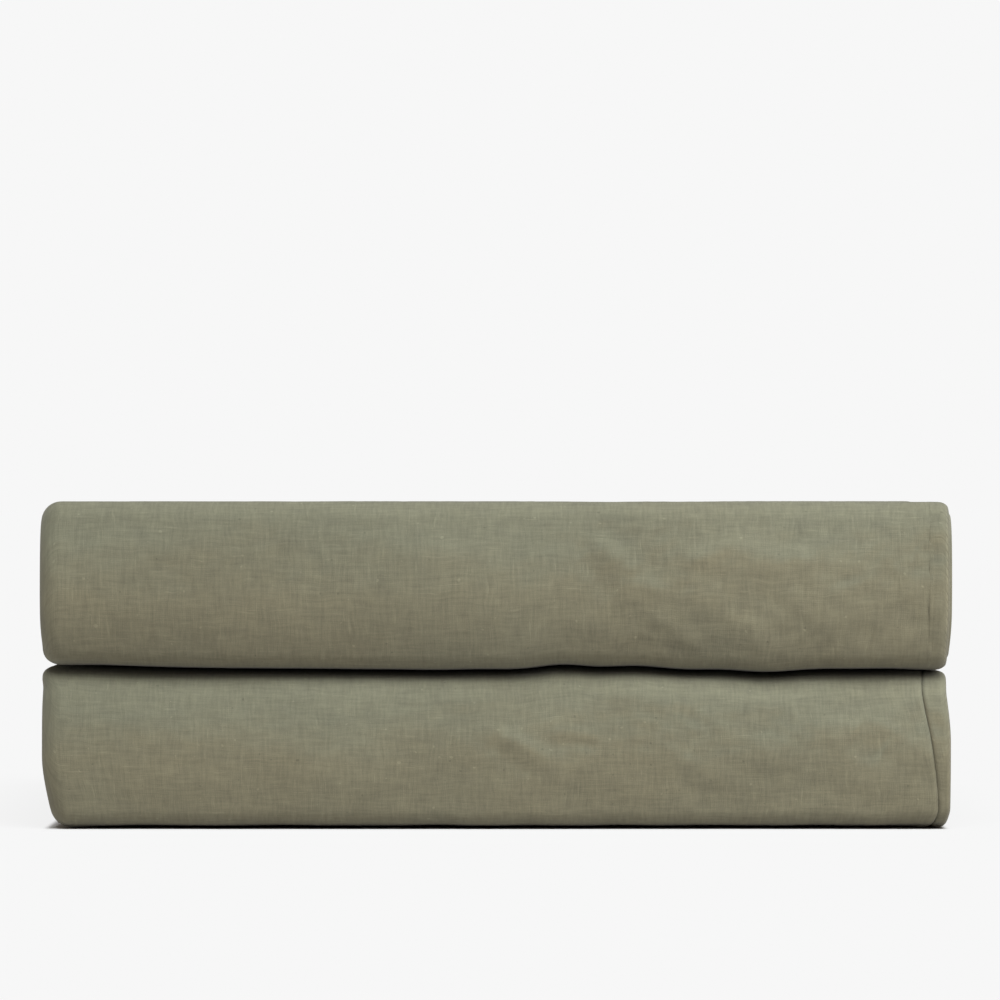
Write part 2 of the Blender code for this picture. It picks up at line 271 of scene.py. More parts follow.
# How much the threads stand out of the linen.
LINEN_RELIEF = 0.030 * MM
STITCH_PITCH = 2.6 * MM
STITCH_HALF_WIDTH = 0.32 * MM
ZIGZAG_PITCH = 1.25 * MM
TAPE_RIB_PITCH = 0.8 * MM
LABEL_RIB_PITCH = 0.35 * MM
# Noise scales, in grains to a metre of cloth.
DRIFT_GRAIN, SWAY_GRAIN = 95.0, 110.0
CLEARNESS_GRAIN = 75.0
PATCH_GRAIN = 16.0
MOTTLE_GRAIN = 160.0
FUZZ_GRAIN = 2600.0
NEP_GRAIN, SPECK_GRAIN = 520.0, 560.0
TAPE_FUZZ_GRAIN = 900.0
LABEL_CLOUD_GRAIN = 240.0
SHELL_FIBRE_GRAIN, SHELL_CLOUD_GRAIN = 1900.0, 230.0


class Graph:
    """A material's nodes, added one after another."""

    def __init__(self, name):
        self.material = bpy.data.materials.new(name)
        self.material.use_nodes = True
        self.tree = self.material.node_tree
        self.surface = self.tree.nodes["Principled BSDF"]

    def node(self, kind, **values):
        made = self.tree.nodes.new(kind)
        for key, value in values.items():
            setattr(made, key, value)
        return made

    def feed(self, socket, value):
        """Gives a socket a number, a colour or vector, or another node's output."""
        if isinstance(value, (int, float)):
            socket.default_value = value
        elif isinstance(value, tuple):
            socket.default_value = (*value, 1.0) if len(socket.default_value) == 4 else value
        else:
            self.tree.links.new(value, socket)

    def math(self, operation, *values, clamp=False):
        made = self.node("ShaderNodeMath", operation=operation, use_clamp=clamp)
        for socket, value in zip(made.inputs, values):
            self.feed(socket, value)
        return made.outputs[0]

    def vector(self, x, y, z=0.0):
        made = self.node("ShaderNodeCombineXYZ")
        for socket, value in zip(made.inputs, (x, y, z)):
            self.feed(socket, value)
        return made.outputs[0]

    def rgb(self, colour):
        """A plain colour as an output that other nodes can read."""
        made = self.node("ShaderNodeRGB")
        made.outputs[0].default_value = (*colour, 1.0)
        return made.outputs[0]

    def noise(self, vector, scale, detail=2.0, roughness=0.5):
        made = self.node("ShaderNodeTexNoise")
        self.feed(made.inputs["Vector"], vector)
        made.inputs["Scale"].default_value = scale
        made.inputs["Detail"].default_value = detail
        made.inputs["Roughness"].default_value = roughness
        return made.outputs["Fac"]

    def remap(self, value, low, high, to_low=0.0, to_high=1.0):
        made = self.node("ShaderNodeMapRange", interpolation_type="SMOOTHSTEP")
        for socket, item in zip(made.inputs, (value, low, high, to_low, to_high)):
            self.feed(socket, item)
        return made.outputs[0]

    def mix(self, share, first, second):
        made = self.node("ShaderNodeMix", data_type="RGBA")
        self.feed(made.inputs["Factor"], share)
        self.feed(made.inputs[6], first)
        self.feed(made.inputs[7], second)
        return made.outputs[2]

    def shade(self, colour, brightness):
        """The colour times a brightness."""
        made = self.node("ShaderNodeVectorMath", operation="SCALE")
        self.feed(made.inputs[0], colour)
        self.feed(made.inputs["Scale"], brightness)
        return made.outputs[0]

    def ribs(self, distance, pitch):
        """Even ribs, from 0 in the grooves to 1 on the crests."""
        wave = self.math("SINE", self.math("MULTIPLY", distance, math.tau / pitch))
        return self.math("MULTIPLY_ADD", wave, 0.5, 0.5)

    def add_shares(self, total, parts):
        """The total plus each part's (value, middle, share): the value less its middle, times its share."""
        for value, middle, share in parts:
            if middle:
                value = self.math("SUBTRACT", value, middle)
            total = self.math("MULTIPLY_ADD", value, share, total)
        return total

    def finish(self, colour, roughness, height, depth, sheen=0.0):
        """Joins everything to the shader, with a bump of the given depth in metres."""
        self.feed(self.surface.inputs["Base Color"], colour)
        self.feed(self.surface.inputs["Roughness"], roughness)
        relief = self.node("ShaderNodeBump")
        relief.inputs["Distance"].default_value = depth
        relief.inputs["Strength"].default_value = 1.0
        self.feed(relief.inputs["Height"], height)
        self.feed(self.surface.inputs["Normal"], relief.outputs[0])
        self.surface.inputs["Sheen Weight"].default_value = sheen
        self.surface.inputs["Sheen Roughness"].default_value = SHEEN_ROUGHNESS
        self.surface.inputs["Specular IOR Level"].default_value = SPECULAR_LEVEL
        return self.material


def cloth_coordinates(graph):
    """The distances across and along the cloth, in metres."""
    uv = graph.node("ShaderNodeUVMap", uv_map="cloth").outputs[0]
    parts = graph.node("ShaderNodeSeparateXYZ")
    graph.feed(parts.inputs[0], uv)
    return parts.outputs[0], parts.outputs[1]


def wandering_threads(graph, across, along):
    """The same two distances, off by as much as the threads wander."""
    drift = graph.noise(graph.vector(across, along, 3.1), DRIFT_GRAIN, 2.0)
    sway = graph.noise(graph.vector(across, along, 8.7), SWAY_GRAIN, 2.0)
    u = graph.add_shares(across, [(drift, 0.5, THREAD_WANDER)])
    v = graph.add_shares(along, [(sway, 0.5, THREAD_WANDER)])
    return u, v


def woven(graph, u, v):
    """A plain weave: how high the threads stand, how light each one is, and where the slubs are."""
    a = graph.math("DIVIDE", u, THREAD_PITCH)
    b = graph.math("DIVIDE", v, THREAD_PITCH)
    sine_a = graph.math("SINE", graph.math("MULTIPLY", a, math.pi))
    sine_b = graph.math("SINE", graph.math("MULTIPLY", b, math.pi))
    over = graph.math("MULTIPLY_ADD", graph.math("MULTIPLY", sine_a, sine_b), 0.5, 0.5)
    warp = graph.math("ABSOLUTE", sine_a)
    weft = graph.math("ABSOLUTE", sine_b)
    warp_part = graph.math("MULTIPLY", warp, over)
    weft_part = graph.math("MULTIPLY", weft, graph.math("SUBTRACT", 1.0, over))
    threads = graph.math("ADD", warp_part, weft_part)
    slow_a = graph.math("MULTIPLY", a, ALONG_THREAD)
    slow_b = graph.math("MULTIPLY", b, ALONG_THREAD)
    warp_tone = graph.noise(graph.vector(a, slow_b, 11.0), 0.8, 3.0, 0.6)
    weft_tone = graph.noise(graph.vector(slow_a, b, 23.0), 0.8, 3.0, 0.6)
    slub_places = ((a, slow_b, 37.0), (slow_a, b, 51.0))
    slub_noise = [graph.noise(graph.vector(*place), 0.75, 1.0) for place in slub_places]
    slubs = graph.math("MAXIMUM", *(graph.remap(noise, 0.66, 0.80) for noise in slub_noise))
    return threads, warp_tone, weft_tone, slubs


def linen(name, green, brown, lightness=1.0, stitch_lines=()):
    """Washed linen: a plain weave of uneven threads, with slubs, neps and slow changes of tone. Its colour
    also holds painted shade: greener on faces that look up, browner on faces that look down, lighter on
    raised wrinkles and darker in dents.
    """
    graph = Graph(name)
    across, along = cloth_coordinates(graph)
    u, v = wandering_threads(graph, across, along)
    threads, warp_tone, weft_tone, slubs = woven(graph, u, v)
    place = graph.vector(across, along, 0.0)
    clear_noise = graph.noise(graph.vector(across, along, 19.0), CLEARNESS_GRAIN, 2.0)
    clearness = graph.remap(clear_noise, 0.35, 0.65, 0.2, 1.0)
    threads = graph.math("MULTIPLY", threads, clearness)
    patches = graph.noise(place, PATCH_GRAIN, 3.0, 0.55)
    mottle = graph.noise(place, MOTTLE_GRAIN, 3.0, 0.6)
    fuzz = graph.noise(graph.vector(u, v, 5.0), FUZZ_GRAIN, 2.0, 0.6)
    nep_noise = graph.noise(graph.vector(across, along, 61.0), NEP_GRAIN, 0.0)
    neps = graph.remap(nep_noise, 0.80, 0.86)
    speck_noise = graph.noise(graph.vector(across, along, 77.0), SPECK_GRAIN, 0.0)
    specks = graph.remap(speck_noise, 0.81, 0.87)
    # Painted shade: the tone read from the mesh paints faces that look down browner and faces that look up
    # greener. Random patches shift the mix too.
    facing = graph.node("ShaderNodeAttribute", attribute_name="tone").outputs["Fac"]
    tone = graph.math("MULTIPLY_ADD", graph.math("SUBTRACT", patches, 0.5), 1.2, facing, clamp=True)
    colour = graph.mix(tone, brown, green)
    # Wear and painted shade: lighter at the fold ends and free edges as wear, painted lighter on raised
    # wrinkles and painted darker in dents.
    wear = graph.node("ShaderNodeAttribute", attribute_name="wear").outputs["Fac"]
    light_parts = [(warp_tone, 0.5, 0.52), (weft_tone, 0.5, 0.46), (mottle, 0.5, 0.36)]
    light_parts += [(threads, 0.55, 0.045), (fuzz, 0.5, 0.36), (slubs, 0, 0.15)]
    light_parts += [(neps, 0, 0.26), (specks, 0, -0.22), (wear, 0, 0.12)]
    height_parts = [(slubs, 0, 0.55), (warp_tone, 0, 0.7), (weft_tone, 0, 0.7)]
    height_parts += [(mottle, 0, 0.8), (neps, 0, 0.8)]
    for line in stitch_lines:
        stitches = running_stitch(graph, across, along, line)
        light_parts.append((stitches, 0, 0.22))
        height_parts.append((stitches, 0, 2.2))
    light = graph.math("MULTIPLY", graph.add_shares(1.0, light_parts), lightness)
    height = graph.add_shares(threads, height_parts)
    roughness = graph.remap(mottle, 0.3, 0.7, 0.82, 0.96)
    return graph.finish(graph.shade(colour, light), roughness, height, LINEN_RELIEF, sheen=0.10)


def running_stitch(graph, across, along, line):
    """A row of short stitches at a set distance across the cloth."""
    off_line = graph.math("ABSOLUTE", graph.math("SUBTRACT", across, line))
    in_row = graph.remap(off_line, STITCH_HALF_WIDTH, STITCH_HALF_WIDTH / 2)
    beat = graph.math("FRACT", graph.math("DIVIDE", along, STITCH_PITCH))
    from_middle = graph.math("ABSOLUTE", graph.math("SUBTRACT", beat, 0.5))
    in_stitch = graph.remap(from_middle, 0.42, 0.34)
    return graph.math("MULTIPLY", in_row, in_stitch)


def tape(name, colour):
    """Herringbone cotton tape."""
    graph = Graph(name)
    across, along = cloth_coordinates(graph)
    zigzag = graph.math("PINGPONG", along, ZIGZAG_PITCH)
    diagonal = graph.math("ADD", zigzag, across)
    rib = graph.ribs(diagonal, TAPE_RIB_PITCH)
    fuzz = graph.noise(graph.vector(across, along), TAPE_FUZZ_GRAIN, 3.0)
    light = graph.add_shares(0.86, [(rib, 0, 0.16), (fuzz, 0.5, 0.25)])
    roughness = graph.remap(fuzz, 0.3, 0.7, 0.78, 0.92)
    return graph.finish(graph.shade(graph.rgb(colour), light), roughness, rib, 0.08 * MM, sheen=0.15)


def label_cloth(name, colour):
    """Satin label ribbon: fine ribs, smoother than the linen."""
    graph = Graph(name)
    across, along = cloth_coordinates(graph)
    rib = graph.ribs(along, LABEL_RIB_PITCH)
    cloud = graph.noise(graph.vector(across, along), LABEL_CLOUD_GRAIN, 3.0)
    light = graph.add_shares(0.93, [(rib, 0, 0.06), (cloud, 0.5, 0.12)])
    roughness = graph.remap(cloud, 0.3, 0.7, 0.42, 0.58)
    return graph.finish(graph.shade(graph.rgb(colour), light), roughness, rib, 0.03 * MM, sheen=0.05)


def coconut_shell(name):
    """Polished coconut shell: dark brown with lighter fibres running through it."""
    graph = Graph(name)
    place = graph.node("ShaderNodeTexCoord").outputs["Object"]
    stretch = graph.node("ShaderNodeVectorMath", operation="MULTIPLY")
    graph.feed(stretch.inputs[0], place)
    stretch.inputs[1].default_value = (1.0, 0.16, 1.0)
    grain = graph.noise(stretch.outputs[0], SHELL_FIBRE_GRAIN, 4.0, 0.65)
    cloud = graph.noise(place, SHELL_CLOUD_GRAIN, 3.0)
    fibres = graph.remap(grain, 0.56, 0.70)
    colour = graph.mix(graph.remap(cloud, 0.3, 0.7), (0.075, 0.036, 0.016), (0.155, 0.084, 0.042))
    colour = graph.mix(graph.math("MULTIPLY", fibres, 0.7), colour, (0.34, 0.22, 0.12))
    roughness = graph.remap(grain, 0.35, 0.7, 0.30, 0.55)
    return graph.finish(colour, roughness, grain, 0.04 * MM)


# ---------------- the strip's path and section


class Path:
    """Stations along the middle line of the strip, with the outward side on the left of its heading."""

    def __init__(self, y, z, heading):
        self.y, self.z = y, z
        self.heading = heading
        self.turned = 0.0
        self.length = 0.0
        self.rows = []
        self.marks = {}
        self.note()

    def note(self):
        """Keeps the place: y, z, the outward direction, the length so far and the angle turned so far."""
        hy, hz = math.cos(self.heading), math.sin(self.heading)
        self.rows.append((self.y, self.z, -hz, hy, self.length, self.turned))

    def mark(self, name):
        self.marks[name] = len(self.rows) - 1

    def run(self, length, step):
        """Straight ahead."""
        count = max(1, round(length / step))
        for _ in range(count):
            self.y += math.cos(self.heading) * length / count
            self.z += math.sin(self.heading) * length / count
            self.length += length / count
            self.note()

    def turn(self, radius, degrees, step):
        """Positive degrees turn left. The radius is that of the middle line."""
        angle = math.radians(degrees)
        count = max(4, round(radius * abs(angle) / step))
        side = math.copysign(1.0, angle)
        centre_y = self.y - math.sin(self.heading) * radius * side
        centre_z = self.z + math.cos(self.heading) * radius * side
        for _ in range(count):
            self.heading += angle / count
            self.turned += angle / count
            self.length += radius * abs(angle) / count
            self.y = centre_y + math.sin(self.heading) * radius * side
            self.z = centre_z - math.cos(self.heading) * radius * side
            self.note()


def half_path():
    """From the middle of the spine, down the back, along the base and through all the bundle's folds."""
    path = Path(HINGE_Y, HEIGHT / 2, -math.pi / 2)
    path.run(HEIGHT / 2 - LOWER_HINGE_Z - CORNER_RADIUS, PLAIN_STEP)
    path.turn(CORNER_RADIUS, -90, FINE_STEP)
    path.run(SPINE_OVERRUN, FINE_STEP)
    path.mark("outer")
    front_turn_y = FRONT + HALF_LAYER + FRONT_RADIUS
    path.run(path.y - front_turn_y, FINE_STEP * 1.15)
    path.turn(FRONT_RADIUS, -90, FINE_STEP * 0.6)
    path.run(FRONT_RISE, FINE_STEP)
    path.turn(FRONT_RADIUS, -90, FINE_STEP * 0.6)
    back_turn_y = BUNDLE_BACK - HALF_LAYER - SMALL_RADIUS
    path.run(back_turn_y - path.y - LAYER, PLAIN_STEP)
    path.mark("inner")
    path.run(LAYER, PLAIN_STEP)
    path.turn(SMALL_RADIUS, -180, FINE_STEP)
    path.run(path.y - (FRONT + LAYER_PITCH + HALF_LAYER + SMALL_RADIUS), HIDDEN_STEP)
    path.turn(SMALL_RADIUS, 180, FINE_STEP)
    return path


def half_circle(x, n, radius, start, steps):
    """Points half way round, anticlockwise from the start angle, as (x, n) pairs."""
    angles = np.radians(start + np.linspace(0, 180, steps + 1))
    return [(x + radius * math.cos(a), n + radius * math.sin(a)) for a in angles]


# Folds of neighbouring panels are rounded this much less than would make them touch.
FOLD_CLEARANCE = 0.1 * MM
# The slit between the two folds: how deep it is, and half its height at the mouth and at its bottom.
SLIT_DEPTH = 7.5 * MM
SLIT_MOUTH = 0.12 * MM
SLIT_BOTTOM = 0.01 * MM


def panel_section(ribbon_room, edge):
    """The panels cut across the strip: two folds and a notch at the right, one smooth fold at the left."""
    h = HALF_LAYER
    broad = h / 2
    narrow = h / 4
    slit = RIGHT - SLIT_DEPTH
    notch = RIGHT - ribbon_room
    ring = half_circle(RIGHT - broad, -broad, broad - FOLD_CLEARANCE, -90, 11)
    ring += [(RIGHT - 4.6 * MM, -SLIT_MOUTH), (slit, -SLIT_BOTTOM)]
    ring += [(slit, SLIT_BOTTOM), (RIGHT - 4.0 * MM, SLIT_MOUTH)]
    ring += half_circle(RIGHT - narrow, narrow, narrow - FOLD_CLEARANCE, -90, 8)
    ring += [(x, h / 2) for x in spaced(RIGHT - 2.4 * MM, notch + 0.4 * MM, 1.2 * MM)]
    ring += [(notch, n) for n in np.linspace(h / 2 + 0.4 * MM, h - edge - 0.3 * MM, 3)]
    for angle in np.radians([0, 18, 36, 54, 72, 90]):
        ring.append((notch - edge + edge * math.cos(angle), h - edge + edge * math.sin(angle)))
    ring += [(x, h) for x in spaced(notch - edge - 0.9 * MM, LEFT + h + 1 * MM, FINE_STEP)]
    ring += half_circle(LEFT + h, 0.0, h, 90, 18)
    ring += [(x, -h) for x in spaced(LEFT + h + 2 * MM, RIGHT - broad - 1.5 * MM, INWARD_STEP)]
    return np.array(ring)


# How far the ribbon of seams lies above the fold under it.
RIBBON_CLEARANCE = 0.25 * MM


def ribbon_section():
    """The side seams, lying one on the other: a thin flat ribbon with round edges."""
    low = HALF_LAYER / 2 + RIBBON_CLEARANCE
    radius = (HALF_LAYER - low) / 2
    middle = low + radius
    outer_end = RIGHT - radius - 0.5 * MM
    ring = half_circle(RIGHT - radius, middle, radius, -90, 8)
    ring += [(x, HALF_LAYER) for x in spaced(outer_end, RIGHT - SEAM_WIDTH + 0.9 * MM, 0.5 * MM)]
    ring += half_circle(RIGHT - SEAM_WIDTH + 0.8 * MM, middle, radius, 90, 6)[1:]
    ring += [(x, low) for x in spaced(RIGHT - SEAM_WIDTH + 1.6 * MM, outer_end, 0.8 * MM)]
    return np.array(ring)


# ---------------- how the cloth lies

# The radius of the fronts' folds at their outward face.
FRONT_BEND = 20 * MM

# Kinds of waves on the cloth: how many, the shortest, the longest and, where they lean, their angles.
BROAD_DENTS = (18, 38 * MM, 110 * MM)
SOFT_DENTS = (26, 12 * MM, 34 * MM, (0.9, 2.4))
FINE_DENTS = (40, 4.5 * MM, 11 * MM)
CREASES = (22, 16 * MM, 60 * MM)
CREASED_PATCHES = (12, 50 * MM, 120 * MM)
# Their heights in millimetres.
BROAD_HEIGHT, SOFT_HEIGHT, FINE_HEIGHT, CREASE_HEIGHT = 0.22, 0.095, 0.030, 0.20


def wrinkle_height(x, y, z, face, upper):
    """How far the outward face of the cloth stands off its plain shape, from soft dents and small creases."""
    seed = 40 if upper else 20
    drop = (HEIGHT - z) if upper else (BUNDLE_HEIGHT - z)
    run = np.where(y < FRONT + FRONT_BEND, drop, drop + y - FRONT)
    broad = waves(x, run, seed + 1, *BROAD_DENTS) * BROAD_HEIGHT * MM
    soft = waves(x, run, seed + 2, *SOFT_DENTS) * SOFT_HEIGHT * MM
    fine = waves(x, run, seed + 3, *FINE_DENTS) * FINE_HEIGHT * MM
    busy = 0.55 + (1.25 if upper else 0.9) * ramp(x, -10, 80)
    creases = bump(waves(x, run, seed + 5, *CREASES) / 0.10)
    patches = smooth(waves(x, run, seed + 6, *CREASED_PATCHES) - 0.2)
    height = broad + soft * busy + fine * busy + creases * patches * (busy - 0.5) * CREASE_HEIGHT * MM
    return height * face


def stroke(x, drop, start, end, width, height):
    """One fold line on the front."""
    ahead, below = x - start[0] * MM, drop - start[1] * MM
    across, down = (end[0] - start[0]) * MM, (end[1] - start[1]) * MM
    t = np.clip((ahead * across + below * down) / (across**2 + down**2), 0, 1)
    away = np.hypot(ahead - t * across, below - t * down)
    taper = smooth(np.minimum(t, 1 - t) * 4 + 0.35)
    return height * MM * bump(away / (width * MM)) * taper


# Fold lines on the two fronts, in millimetres: both ends as (x, distance below the bundle's top), width
# and height.
UPPER_STROKES = [
    ((34, 13), (46, 24), 3.2, 0.45),
    ((40, 26), (56, 29), 2.6, 0.40),
    ((28, 18), (38, 31), 4.0, -0.50),
    ((134, 38), (146, 38), 1.2, -0.32),
    ((98, 20), (118, 12), 5.0, 0.35),
    ((141.5, 4), (141.5, 48), 1.7, -0.13),
    ((134, 2), (134.5, 40), 1.8, 0.12),
    ((108, 30), (126, 24), 2.2, 0.34),
    ((64, 20), (80, 10), 2.6, 0.30),
    ((86, 28), (104, 40), 2.4, -0.34),
    ((50, 36), (66, 44), 2.6, 0.36),
    ((-100, 40), (-60, 34), 8.0, 0.25),
    ((75, 34), (90, 44), 4.0, 0.35),
]
LOWER_STROKES = [
    ((1, 21), (19, 32), 3.0, 0.55),
    ((-3, 24), (12, 34), 4.0, -0.50),
    ((18, 21), (34, 22), 1.6, 0.28),
    ((20, 25), (34, 26), 1.5, -0.25),
    ((118, 20), (128, 26), 5.0, -0.55),
    ((112, 30), (132, 36), 4.5, 0.35),
    ((60, 30), (80, 38), 4.0, 0.30),
]


def front_strokes(x, y, z, upper):
    """All the fold lines on one front, fading where it bends backwards."""
    drop = (HEIGHT - z) if upper else (BUNDLE_HEIGHT - z)
    on_front = 1 - ramp(y - FRONT, 6, 14)
    total = np.zeros_like(x)
    for start, end, width, height in UPPER_STROKES if upper else LOWER_STROKES:
        total += stroke(x, drop, start, end, width, height)
    return total * on_front


def end_inset(z, right):
    """How far the fold edges draw in at each height, lower bundle then upper."""
    low = z / BUNDLE_HEIGHT
    high = (z - BUNDLE_HEIGHT) / BUNDLE_HEIGHT
    if right:
        lower = 0.1 + 1.5 * smooth((low - 0.55) / 0.45) + 0.9 * smooth((0.12 - low) / 0.12)
        upper = 0.0 + 0.7 * smooth((0.35 - high) / 0.35)
    else:
        lower = 0.4 + 2.8 * smooth((0.45 - low) / 0.45)
        upper = 0.0 + 0.5 * smooth((0.30 - high) / 0.30)
    return np.where(z < BUNDLE_HEIGHT, lower, upper) * MM


# How each front fold is rounded at its two edges: set back, bulge, lip radius and the gap beyond the lip.
UPPER_TOP = (0.0, 3.6 * MM, 6.0 * MM, 0.0)
UPPER_UNDER = (0.0, 7.6 * MM, 4.5 * MM, 1.0 * MM)
LOWER_TOP = (4.4 * MM, 4.0 * MM, 8.5 * MM, 1.0 * MM)
LOWER_UNDER = (4.4 * MM, 2.4 * MM, 5.0 * MM, 0.9 * MM)


def front_depth(rise, half, open_share, set_back, bulge, lip, gap):
    """Depth of a front fold's face, by height from its middle: a gentle bulge, a round lip, then a cleft."""
    to_edge = np.clip(half - rise, 0, half)
    turned = np.clip(lip + gap - to_edge, 0, lip)
    depth = set_back + bulge * np.clip(rise / half, 0, 1) ** 2 + lip - np.sqrt(lip**2 - turned**2)
    if gap:
        depth += (FRONT_BEND - lip) * open_share * np.clip(1 - to_edge / gap, 0, 1) ** 1.4
    return depth


def fuller_front(x, y, z):
    """How far forward the round front folds fill out."""
    half = BUNDLE_HEIGHT / 2
    upper = z > BUNDLE_HEIGHT
    from_middle = np.where(upper, z - HEIGHT + half, z - half)
    rise = np.clip(np.abs(from_middle), 0, half)
    turned = np.clip(rise - half + FRONT_BEND, 0, FRONT_BEND)
    round_depth = FRONT_BEND - np.sqrt(FRONT_BEND**2 - turned**2)
    open_share = 1 - 0.85 * ramp(np.abs(x), 128, 14)
    full_depth = np.empty_like(y)
    for bundle, over, under in ((upper, UPPER_TOP, UPPER_UNDER), (~upper, LOWER_TOP, LOWER_UNDER)):
        for side, shape in ((from_middle > 0, over), (from_middle <= 0, under)):
            chosen = bundle & side
            full_depth[chosen] = front_depth(rise[chosen], half, open_share[chosen], *shape)
    deeper = 3.0 * bump((x + 0.122) / 0.030) + 2.0 * bump((x - 0.112) / 0.026)
    full_depth += np.where(upper | (from_middle < 0), 0, deeper * MM * (rise / half) ** 3)
    return (round_depth - full_depth) * (1 - ramp(y - FRONT, 18, 50))


def narrow_seam(x, y, z):
    """How far the stitched edge leans to the right on the lower front: the seam narrows towards the floor."""
    line = RIGHT - SEAM_WIDTH
    lean = 2.6 - 4.3 * ramp(z, 6, 44)
    reach = smooth(1 - (x - line) / SEAM_WIDTH) * smooth(1 - (line - x) / (14 * MM))
    on_front = (1 - ramp(y - FRONT, 8, 20)) * (z < BUNDLE_HEIGHT)
    return lean * MM * reach * on_front


def lift_hem(x, y, z):
    """The bottom edge at the front isn't quite straight, and its right corner is lifted."""
    low = (1 - ramp(z, 0, 9)) * (1 - ramp(y - FRONT, 0, 24))
    uneven = 0.15 + 0.30 * waves(x, 0 * x, 96, 10, 26 * MM, 110 * MM, (0.0, 0.2))
    corner = 1.5 * ramp(x - RIGHT, -9, 5)
    return np.clip(uneven + corner, 0, 2) * MM * low


# How far in front of the bundles' backs the uneven ends start to give way to the spine's straight edges.
SPINE_REACH = 26 * MM


def square_ends(x, y, z):
    """How far outward the layers at the crease are pressed at their ends, squarer than a plain round fold."""
    near = smooth(1 - np.abs(z - BUNDLE_HEIGHT) / (8 * MM))
    push = np.where(z > BUNDLE_HEIGHT, 1.2 * MM, 2.6 * MM) * np.where(x > 0, 0.3, 1.0)
    clear_of_spine = 1 - smooth((y - BUNDLE_BACK + SPINE_REACH) / SPINE_REACH)
    return np.sign(x) * push * near * ramp(np.abs(x), 132, 12) * clear_of_spine


def uneven_layers(x, y, z):
    """How far the layers rise and fall at their two ends, away from the floor, the crease and the top."""
    room = ramp(z, 0, 9) * ramp(HEIGHT - z, 0, 9) * ramp(np.abs(z - BUNDLE_HEIGHT), 0, 9)
    at_ends = ramp(np.abs(x), 95, 50)
    behind_front = ramp(y - FRONT, 10, 30) * ramp(HINGE_Y + 4 * MM - y, 0, 25)
    return 0.75 * MM * waves(y + x, z * 1.6, 98, 16, 34 * MM, 120 * MM) * room * at_ends * behind_front


# The sag, and how it changes along the front, in millimetres: the place, the width and the change.
SAG = 2.1
SAG_CHANGES = [(-160, 45, -1.9), (-20, 30, 0.4), (88, 16, 1.0), (22, 11, -1.1), (42, 12, -0.8)]
SPINE_INSET = 0.7 * MM


def crease_sag(x, y, z):
    """How far the cloth sags into the crease at the front, more in some places than in others."""
    near_crease = np.where(z < BUNDLE_HEIGHT, z / BUNDLE_HEIGHT, (HEIGHT - z) / (HEIGHT - BUNDLE_HEIGHT))
    near_crease = smooth(np.clip(near_crease, 0, 1))
    sag = np.full_like(x, SAG)
    for place, width, change in SAG_CHANGES:
        sag += change * bump((x - place * MM) / (width * MM))
    sag += 0.22 * np.sin(x / (4.5 * MM)) * bump((x - 0.05) / 0.06)
    ahead = 1 - ramp(y, 5, 60)
    return sag * MM * near_crease * ahead


def top_dip(x, y, z):
    """How far the top sinks between its edges."""
    to_top = ramp(z - HEIGHT, -40, 40)
    dip = 0.9 + 0.75 * waves(x, y, 71, 14, 70 * MM, 190 * MM)
    inside = ramp(y - FRONT, 14, 45) * ramp(BUNDLE_BACK + 6 * MM - y, 0, 40)
    return np.clip(dip, 0, 2.4) * MM * to_top * inside


def ragged_inset(x, y, z, right):
    """How far one end's layers draw in, each a little differently."""
    reach = ramp(x if right else -x, 85, 55)
    ragged = 0.45 * waves(y, z * 2.2, 81 + right, 16, 22 * MM, 90 * MM)
    ragged = np.clip(ragged + 0.35, 0, 1.6) * ramp(y - FRONT, 14, 30)
    on_spine = smooth((y - BUNDLE_BACK + SPINE_REACH) / SPINE_REACH)
    inset = end_inset(z, right) * (1 - on_spine) + SPINE_INSET * on_spine + ragged * MM
    return inset * reach


def front_shift(x, y, z):
    """How far the front lies back here and there."""
    shift = 0.5 * waves(x, z, 91, 12, 60 * MM, 160 * MM)
    at_front = 1 - ramp(y - FRONT, 0, 70)
    return np.clip(shift + 0.5, 0, 1.6) * MM * at_front


def settle(points):
    """Lets the whole stack sag and shift as one, so that neighbours keep their distance."""
    x, y, z = points[..., 0], points[..., 1], points[..., 2]
    moved = points.copy()
    moved[..., 0] += narrow_seam(x, y, z) + square_ends(x, y, z)
    moved[..., 0] += ragged_inset(x, y, z, False)
    moved[..., 0] -= ragged_inset(x, y, z, True)
    moved[..., 1] -= fuller_front(x, y, z)
    moved[..., 1] += front_shift(x, y, z)
    moved[..., 2] += lift_hem(x, y, z)
    moved[..., 2] -= crease_sag(x, y, z)
    moved[..., 2] -= top_dip(x, y, z)
    moved[..., 2] += uneven_layers(x, y, z)
    return moved


# ---------------- from grids to meshes


def grid_normals(grid):
    """Unit normals of a grid whose columns close into rings."""
    along = np.gradient(grid, axis=0)
    around = np.roll(grid, -1, axis=1) - np.roll(grid, 1, axis=1)
    normal = np.cross(around, along)
    return normal / np.maximum(np.linalg.norm(normal, axis=-1, keepdims=True), 1e-12)


def mesh_object(name, verts, faces, loop_uv, loop_normals, look, wear, tone):
    """A smooth mesh with cloth coordinates and, at each vertex, its wear with painted dent shade and the tone
    that paints shade by which way the face looks.
    """
    mesh = bpy.data.meshes.new(name)
    mesh.from_pydata(verts.tolist(), [], faces)
    layer = mesh.uv_layers.new(name="cloth")
    layer.data.foreach_set("uv", np.asarray(loop_uv, np.float32).ravel())
    for key, values in (("wear", wear), ("tone", tone)):
        attribute = mesh.attributes.new(key, "FLOAT", "POINT")
        attribute.data.foreach_set("value", np.asarray(values, np.float32))
    mesh.materials.append(look)
    mesh.shade_smooth()
    mesh.normals_split_custom_set(loop_normals)
    made = bpy.data.objects.new(name, mesh)
    bpy.context.scene.collection.objects.link(made)
    return made


